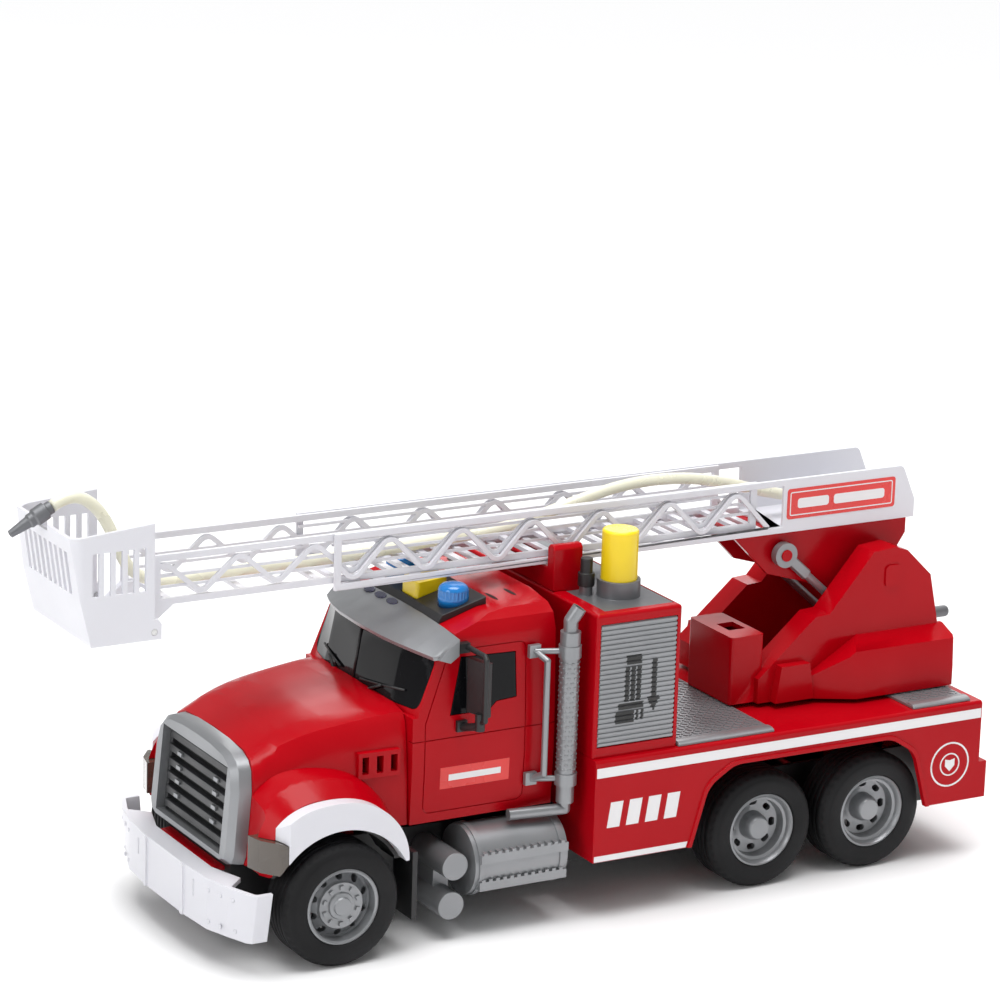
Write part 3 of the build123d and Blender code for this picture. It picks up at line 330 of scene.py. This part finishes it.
def make_hose():
    curve = bpy.data.curves.new("hose_line", "CURVE")
    curve.dimensions = "3D"
    spline = curve.splines.new("NURBS")
    spline.points.add(len(HOSE_ROUTE) - 1)
    for point, place in zip(spline.points, HOSE_ROUTE):
        point.co = (*(Vector(place) * MM), 1)
    spline.order_u = 3
    spline.use_endpoint_u = True
    spline.resolution_u = 12
    line = bpy.data.objects.new("hose_line", curve)
    bpy.context.scene.collection.objects.link(line)
    bpy.context.view_layer.update()
    mesh = bpy.data.meshes.new_from_object(line)
    path = [v.co.copy() for v in mesh.vertices]
    bpy.data.objects.remove(line)
    bm = bmesh.new()
    add_tube(bm, [p / MM for p in path], HOSE_DIAMETER / 2, 20)
    hose = finish_piece("hose_tube", bm, "hose", weighted=False)
    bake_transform(hose)
    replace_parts(hose, "hose")


make_hose()


# ---------------------------------------------------------------- CAD nodes that stay
def dress(node, mat, bevel):
    """Gives a CAD node its material, rounds its edges and smooths its curved faces."""
    obj = NODES[node]
    obj.data.materials.clear()
    obj.data.materials.append(M[mat])
    for poly in obj.data.polygons:
        poly.use_smooth = True
    weld = obj.modifiers.new("weld", "WELD")
    weld.merge_threshold = 2e-6
    flat = obj.modifiers.new("planar", "DECIMATE")
    flat.decimate_type = "DISSOLVE"
    flat.angle_limit = math.radians(0.6)
    shade(obj, bevel, 32, True)


for node, look in {
    "chassis": ("black", 0.3), "battery_cover": ("black", 0.3), "batteries": ("cell", 0.3),
    "circuit_board": ("board", 0), "speaker": ("black", 0.3), "body_screws": ("steel", 0.15),
    "cab_shell": ("red", 0.8), "windscreen": ("glazing", 0.3), "side_windows": ("glazing", 0.25),
    "sun_visor": ("silver", 0.4), "mirrors": ("black", 0.3), "light_bar": ("black", 0.4),
    "roof_button": ("yellow", 0.5), "button_spring": ("steel", 0),
    "hood_shell": ("red", 0.6), "front_valance": ("red", 0.3), "grille_surround": ("silver", 0.8),
    "grille_insert": ("charcoal", 0.35), "grille_pegs": ("silver", 0.1), "bumper": ("white", 0.5),
    "fender_bands": ("white", 0.5), "headlights": ("smoke", 0.8), "wheel_guards": ("black", 0.3),
    "exhaust_left": ("silver", 0.3), "exhaust_right": ("silver", 0.3), "fuel_tanks": ("silver", 0.3),
    "air_tanks": ("silver", 0.8), "rear_body": ("red", 0.5), "tread_plate_front": ("deck", 0.2),
    "tread_plate_rear": ("deck", 0.2), "pump_box": ("red", 0.3), "shutters": ("silver", 0.25),
    "top_plate": ("grey", 0.4), "pump_cylinder": ("white", 0.4), "pump_plunger": ("yellow", 0.3),
    "pump_spring": ("steel", 0), "filler_plug": ("black", 0.3), "cradle": ("red", 1.2),
    "axle_front": ("steel", 0.2), "axle_rear_1": ("steel", 0.2), "axle_rear_2": ("steel", 0.2),
    "rims_front": ("silver", 0.25), "rims_rear_1": ("silver", 0.25), "rims_rear_2": ("silver", 0.25),
    "turret": ("red", 0.8), "turret_retainer": ("black", 0.3), "turret_handle": ("grey", 0.3),
    "lift_pin": ("steel", 0.3), "ladder_bracket": ("red", 0.5), "rams": ("silver", 0.3),
    "ladder_outer": ("white", 0.3), "ladder_inner": ("white", 0.25), "basket_pin": ("steel", 0.2),
    "basket": ("white", 0.4), "nozzle": ("grey", 0.15),
}.items():
    dress(node, *look)


# ---------------------------------------------------------------- tyres
WHEEL_R = 25.0
TREAD_BLOCKS = 40


def tyre_profile(half):
    """(across, radius, notched) from one bead over the tread to the other."""
    side = [(half - 0.7, 15.45, 0), (half - 0.25, 16.4, 0), (half - 0.05, 17.6, 0), (half, 19.6, 0),
            (half - 0.15, 21.2, 0), (half - 0.45, 21.35, 0), (half - 0.6, 22.5, 0), (half - 1.2, 23.5, 0),
            (half - 1.9, 24.1, 1), (half - 2.6, 24.5, 1), (half - 3.2, 24.85, 0), (half - 4.0, WHEEL_R, 0)]
    for groove in (4.4, 1.5):
        side += [(groove + 0.5, WHEEL_R, 0), (groove + 0.3, 24.2, 0), (groove - 0.3, 24.2, 0),
                 (groove - 0.5, WHEEL_R, 0)]
    return side + [(-across, radius, notched) for across, radius, notched in reversed(side)]


def make_tyres(node, body, x, y):
    bm = bmesh.new()
    middle, half = (y[0] + y[1]) / 2, (y[1] - y[0]) / 2
    for side in (1, -1):
        rings = []
        for across, radius, notched in tyre_profile(half):
            ring = []
            for i, turn in enumerate(turns(4 * TREAD_BLOCKS)):
                r = radius - (0.6 if notched and i % 4 == 0 else 0)
                ring.append((x + r * math.cos(turn), side * middle + across, WHEEL_R + r * math.sin(turn)))
            rings.append(ring)
        add_loop_faces(bm, rings, close_loop=True)
    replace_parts(finish_piece(node + "_rubber", bm, "tyre", body), node)


make_tyres("tyres_front", "front_wheels", 113.5, (43.0, 63.4))
make_tyres("tyres_rear_1", "rear_wheels_1", -82.0, (38.0, 58.5))
make_tyres("tyres_rear_2", "rear_wheels_2", -136.5, (38.0, 58.5))


# ---------------------------------------------------------------- cab details
def ribbed_lamps():
    bm = bmesh.new()
    for side in (1, -1):
        rings = []
        for z, radius, ribbed in ((127.0, 6.2, 0), (130.6, 6.2, 0), (130.9, 6.1, 1), (133.6, 6.1, 1),
                                  (133.9, 6.05, 0), (135.0, 5.6, 0), (135.8, 4.6, 0), (136.2, 3.2, 0),
                                  (136.38, 1.6, 0), (136.4, 0.01, 0)):
            ring = []
            for i, turn in enumerate(turns(96)):
                r = radius - (0.4 if ribbed and (i // 2) % 2 else 0)
                ring.append((46 + r * math.cos(turn), 22 * side + r * math.sin(turn), z))
            rings.append(ring)
        add_loop_faces(bm, rings, close_ends=True)
    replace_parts(finish_piece("ribbed_lamps", bm, "blue", "truck"), "beacon_lamps")


def coil(node, base, height, radius, pitch, wire):
    """Coil spring of round wire wound up from its base."""
    steps = round(14 * height / pitch)
    points = []
    for i in range(steps + 1):
        rise = height * i / steps
        turn = 2 * math.pi * rise / pitch
        points.append((base[0] + radius * math.cos(turn), base[1] + radius * math.sin(turn), base[2] + rise))
    bm = bmesh.new()
    add_tube(bm, points, wire, 8)
    obj = finish_piece(node + "_coil", bm, "steel", "truck", weighted=False)
    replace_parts(obj, node)
    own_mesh(obj)


def glass_x(y, z):
    """Front face of the windscreen at a place across and up it."""
    foot = ((0, 79.0), (28, 77.2), (44.6, 73.6))
    head = ((0, 75.0), (28, 72.0), (45.2, 64.4))

    def along(line):
        for (ya, xa), (yb, xb) in zip(line, line[1:]):
            if abs(y) <= yb:
                return xa + (xb - xa) * (abs(y) - ya) / (yb - ya)
        return line[-1][1]
    share = (z - 90.6) / 24.8
    return along(foot) * (1 - share) + along(head) * share


def screen_trim():
    bm = bmesh.new()
    add_tube(bm, [(glass_x(0, z) + 0.05, 0, z) for z in (93.4, 104, 114.6)], 0.55, 8)
    for low, high in (((-11.9, 96.0), (-31.5, 99.6)), ((6.0, 96.2), (35.1, 99.4))):
        middle = ((low[0] + high[0]) / 2, (low[1] + high[1]) / 2)
        blade = [(glass_x(y, z) + 0.75, y, z) for y, z in (low, middle, high)]
        add_tube(bm, blade, 0.5, 8)
        arm = (low[0] * 0.45 + high[0] * 0.55, low[1] * 0.45 + high[1] * 0.55)
        foot = (low[0] + 4 * (1 if high[0] > 0 else -1), 92.6)
        add_tube(bm, [(glass_x(*foot) + 0.9, *foot), (glass_x(*arm) + 1.3, *arm)], 0.6, 8)
        add_lathe(bm, ((1.1, 0), (1.1, 1.0), (0.7, 1.3), (0, 1.3)),
                  (glass_x(*foot) + 0.1, *foot), (1, 0, 0.2), 16)
    finish_piece("screen_trim", bm, "black", "truck", weighted=False)


def flat_oval(bm, centre, half_a, half_b, thick, tip):
    """Thin oval plate lying flat; tip is a matrix that turns it about its centre."""
    rings = []
    for level, shrink in ((0, 1.0), (thick * 0.7, 1.0), (thick, 0.85)):
        rings.append([Vector(centre) + tip @ Vector((half_a * shrink * math.cos(turn),
                                                     half_b * shrink * math.sin(turn), level))
                      for turn in turns(24)])
    add_loop_faces(bm, rings, close_ends=True)


def roof_details():
    # Three dark blue ovals on the far half of the roof: a painted reflection of the blue beacons in the
    # glossy roof.
    bm = bmesh.new()
    tip = Matrix.Rotation(math.radians(17.6), 3, "Y")
    for y in (-23.3, -13.5, -3.7):
        flat_oval(bm, (59.4, y, 122.75), 1.9, 4.0, 0.9, tip)
    finish_piece("roof_painted_reflections", bm, "beacon_reflection_paint", "truck")
    # Near-black plates over the roof slots: painted shade inside the slots.
    bm = bmesh.new()
    tip = Matrix.Rotation(math.radians(6.1), 3, "Y")
    for x in (21.1, 29.4):
        for side in (1, -1):
            flat_oval(bm, (x, 23.6 * side, 131.0 - (x - 12) * 0.107 - 0.9), 0.9, 5.6, 1.0, tip)
    finish_piece("roof_slot_shade", bm, "hollow", "truck")


ribbed_lamps()
coil("button_spring", (50, 0, 126.0), 1.5, 2.0, 0.9, 0.25)
coil("pump_spring", (-21.3, 36.9, 87), 64.5, 4.8, 5.4, 0.5)
screen_trim()
roof_details()


# ---------------------------------------------------------------- printed decoration
BODY_SIDE = 62.5
LADDER_SIDE = 17.4
CORNER_STEPS = 8


def side_plate(bm, outline, y, thick=0.12):
    """Thin plate on each side of the truck, from an outline in x and z."""
    for side in (1, -1):
        add_prism(bm, outline, "y", side * (y - 0.05), side * (y + thick))


def rounded(x, z, radius):
    """Rounded rectangle outline in x and z."""
    points = []
    for cx, cz, start in ((x[1] - radius, z[1] - radius, 0), (x[0] + radius, z[1] - radius, 90),
                          (x[0] + radius, z[0] + radius, 180), (x[1] - radius, z[0] + radius, 270)):
        for step in range(CORNER_STEPS + 1):
            turn = math.radians(start + 90 * step / CORNER_STEPS)
            points.append((cx + radius * math.cos(turn), cz + radius * math.sin(turn)))
    return points


def side_frame(bm, x, z, radius, width, y, thick):
    """Thin rounded frame on each side of the truck."""
    outer = rounded(x, z, radius)
    inner = rounded((x[0] + width, x[1] - width), (z[0] + width, z[1] - width), radius - width * 0.8)
    for side in (1, -1):
        rings = [[(px, side * level, pz) for px, pz in line]
                 for line, level in ((outer, y), (outer, y + thick), (inner, y + thick), (inner, y))]
        add_loop_faces(bm, rings, close_loop=True)


def body_print():
    bm = bmesh.new()
    side_plate(bm, [(-186.4, 60.7), (1.0, 60.7), (1.0, 64.8), (-186.4, 64.8)], BODY_SIDE)
    side_plate(bm, [(-42.2, 25.3), (1.0, 25.3), (1.0, 27.7), (-42.9, 27.7)], BODY_SIDE)
    for step in range(4):
        right = -4.4 - 8.9 * step
        bar = [(right, 39.2), (right - 5.8, 39.2), (right - 7.4, 49.8), (right - 1.6, 49.8)]
        side_plate(bm, bar, BODY_SIDE)
    centre = (-171.8, 42.0)
    for ring, width in ((9.8, 0.7), (5.0, 0.55)):
        side_frame(bm, (centre[0] - ring, centre[0] + ring), (centre[1] - ring, centre[1] + ring),
                   ring - 0.01, width, BODY_SIDE - 0.05, 0.18)
    shield = [(-2.4, 2.4), (-2.4, -0.6), (0, -3.0), (2.4, -0.6), (2.4, 2.4), (0, 1.8)]
    side_plate(bm, [(centre[0] + px, centre[1] + pz) for px, pz in shield], BODY_SIDE)
    finish_piece("body_print", bm, "stripe", "truck", smooth=False, weighted=False)


def ladder_label():
    bm = bmesh.new()
    side_plate(bm, rounded((-168.0, -113.8), (143.2, 156.2), 1.3), LADDER_SIDE, 0.14)
    finish_piece("ladder_label", bm, "label_red", "ladder", smooth=False, weighted=False)
    bm = bmesh.new()
    side_frame(bm, (-166.6, -115.2), (144.6, 154.8), 0.9, 0.45, LADDER_SIDE, 0.22)
    for low, high in ((-134.5, -119.0), (-162.5, -137.0)):
        side_plate(bm, rounded((low, high), (147.6, 151.8), 1.2), LADDER_SIDE, 0.22)
    finish_piece("ladder_label_lines", bm, "stripe", "ladder", smooth=False, weighted=False)


def cab_label():
    def flank(x, z, out):
        return [(x[i], 46.12 + (z[k] - 60) * 0.0478 + out, z[k]) for i, k in ((0, 0), (1, 0), (1, 1), (0, 1))]
    for name, mat, x, z, out in (("cab_label", "label_red", (32.2, 63.3), (60.2, 69.2), 0.12),
                                 ("cab_label_bar", "stripe", (36.0, 59.5), (63.4, 66.0), 0.2)):
        bm = bmesh.new()
        for side in (1, -1):
            rings = [[(px, side * py, pz) for px, py, pz in flank(x, z, level)] for level in (-0.05, out)]
            add_loop_faces(bm, rings, close_ends=True)
        finish_piece(name, bm, mat, "truck", smooth=False, weighted=False)


PICTOGRAM = (
    ((-19.6, -12.6), (105.6, 109.3)), ((-14.2, -12.2), (90.2, 104.7)), ((-16.9, -14.9), (90.2, 104.7)),
    ((-19.6, -17.6), (90.2, 104.7)), ((-21.0, -9.4), (87.0, 89.7)), ((-16.8, -8.2), (81.4, 86.3)),
    ((-18.8, -17.7), (82.0, 86.3)), ((-21.2, -19.9), (82.0, 86.3)), ((-26.9, -24.6), (90.8, 106.7)),
    ((-28.5, -23.0), (89.4, 90.8)), ((-27.7, -23.8), (87.8, 89.4)), ((-26.9, -24.6), (86.4, 87.8)),
    ((-26.2, -25.3), (85.1, 86.4)),
)


def shutter_print():
    """Plain pump sign and arrow printed over the shutters' ribs."""
    bm = bmesh.new()
    for x, z in PICTOGRAM:
        side_plate(bm, [(x[0], z[0]), (x[1], z[0]), (x[1], z[1]), (x[0], z[1])], 59.1, 0.06)
        for slat in range(25):
            middle = 73.5 + 2.03 * slat
            low, high = max(z[0], middle - 0.62), min(z[1], middle + 0.62)
            if high - low > 0.1:
                side_plate(bm, [(x[0], low), (x[1], low), (x[1], high), (x[0], high)], 59.7, 0.08)
    finish_piece("shutter_print", bm, "ink_black", "truck", smooth=False, weighted=False)


body_print()
ladder_label()
cab_label()
shutter_print()


# ---------------------------------------------------------------- raised details
def bumper_details():
    bm = bmesh.new()
    front = ((18, 160.4), (36, 159.0), (50, 155.8), (60.4, 151.8), (62.2, 150.0))

    def face_x(y, z):
        y += 4.5 * (1 - (z - 14) / 21) if y > 45 else 0
        for (ya, xa), (yb, xb) in zip(front, front[1:]):
            if y <= yb:
                return xa + (xb - xa) * (y - ya) / (yb - ya)
        return front[-1][1]
    for y in (37, 44, 51):
        for z in (17.6, 30.4):
            for side in (1, -1):
                add_lathe(bm, ((0.95, -0.3), (0.95, 0.15), (0.6, 0.42), (0, 0.5)),
                          (face_x(y, z), side * y, z), (1, 0.22 * side, 0), 14)
    for side in (1, -1):
        add_box(bm, (159.3, 160.1), (side * 25.6 - 0.45, side * 25.6 + 0.45), (24.5, 31.0))
    finish_piece("bumper_rivets", bm, "white", "truck")


def exhaust_dimples():
    bm = bmesh.new()
    for side in (1, -1):
        for row in range(23):
            for place in range(9):
                turn = math.radians(40 * place + (20 if row % 2 else 0))
                out = Vector((math.cos(turn), math.sin(turn), 0))
                along = Vector((-math.sin(turn), math.cos(turn), 0))
                centre = Vector((9.9, 53 * side, 64.0 + 2.0 * row))
                rings = []
                for reach, size in ((3.75, 1.0), (4.12, 0.85), (4.2, 0.5)):
                    rings.append([centre + out * reach + along * (0.85 * size * math.cos(around))
                                  + Vector((0, 0, 0.55 * size * math.sin(around))) for around in turns(10)])
                add_loop_faces(bm, rings, close_ends=True)
    finish_piece("exhaust_studs", bm, "silver", "truck")


DECK_TOP = 69.2
TURRET_X = -138


def tread_pattern():
    """Slanted bars all over the deck plates, and a silver bead along their outer edges."""
    bm = bmesh.new()
    edge = bmesh.new()
    for low, high in ((-84.0, -38.1), (-182.0, -153.0)):
        columns = int((high - low - 2) / 2.4)
        for column in range(columns):
            for row in range(44):
                x = low + 1.6 + 2.4 * column + random.uniform(-0.05, 0.05)
                y = -52.2 + 2.43 * row
                if (x - TURRET_X) ** 2 + y * y < 24 ** 2:
                    continue
                slant = math.radians(45 if (row + column) % 2 else -45)
                place = Matrix.Translation((x, y, DECK_TOP)) @ Matrix.Rotation(slant, 4, "Z")
                add_box(bm, (-1.05, 1.05), (-0.35, 0.35), (-0.1, 0.3), place)
        for side in (1, -1):
            outline = []
            for i in range(13):
                turn = math.pi * i / 12
                outline.append((side * (57.2 + 3.4 * math.cos(turn)), DECK_TOP - 0.6 + 1.2 * math.sin(turn)))
            add_prism(edge, outline, "x", low + 0.1, high - 0.3)
    finish_piece("tread_pattern", bm, "deck", "truck", smooth=False, weighted=False)
    finish_piece("tread_edges", edge, "silver", "truck", bevel=0.2)


bumper_details()
exhaust_dimples()
tread_pattern()


# ---------------------------------------------------------------- stage
def paper_floor():
    mat, _, bsdf = node_material("floor_paper")
    bsdf.inputs["Base Color"].default_value = (0.92, 0.92, 0.925, 1)
    bsdf.inputs["Roughness"].default_value = 0.9
    mesh = bpy.data.meshes.new("floor")
    mesh.from_pydata([(-9, -9, 0), (9, -9, 0), (9, 9, 0), (-9, 9, 0)], [], [(0, 1, 2, 3)])
    mesh.materials.append(mat)
    floor = bpy.data.objects.new("floor", mesh)
    bpy.context.scene.collection.objects.link(floor)


def area_light(name, place, target, size, power):
    data = bpy.data.lights.new(name, "AREA")
    data.shape = "RECTANGLE"
    data.size, data.size_y = size
    data.energy = power
    obj = bpy.data.objects.new(name, data)
    bpy.context.scene.collection.objects.link(obj)
    obj.location = place
    obj.rotation_mode = "QUATERNION"
    obj.rotation_quaternion = (Vector(target) - Vector(place)).to_track_quat("-Z", "Y")


def studio():
    paper_floor()
    world = bpy.data.worlds.new("studio")
    world.use_nodes = True
    world.node_tree.nodes["Background"].inputs["Color"].default_value = (1, 1, 1, 1)
    world.node_tree.nodes["Background"].inputs["Strength"].default_value = 0.42
    bpy.context.scene.world = world
    sun = bpy.data.lights.new("sun", "SUN")
    sun.energy, sun.angle = 2.0, math.radians(50)
    bpy.context.scene.collection.objects.link(bpy.data.objects.new("sun", sun))
    area_light("key", (0.15, 0.25, 1.7), (0, 0, 0.05), (1.3, 0.9), 10)
    area_light("front", (1.5, 0.5, 0.8), (0.1, 0, 0.08), (0.8, 0.8), 6)
    area_light("back", (-1.0, -1.2, 1.0), (0, 0, 0.08), (1.2, 0.8), 7)
    scene = bpy.context.scene
    scene.view_settings.view_transform = "Standard"
    scene.view_settings.look = "None"


studio()
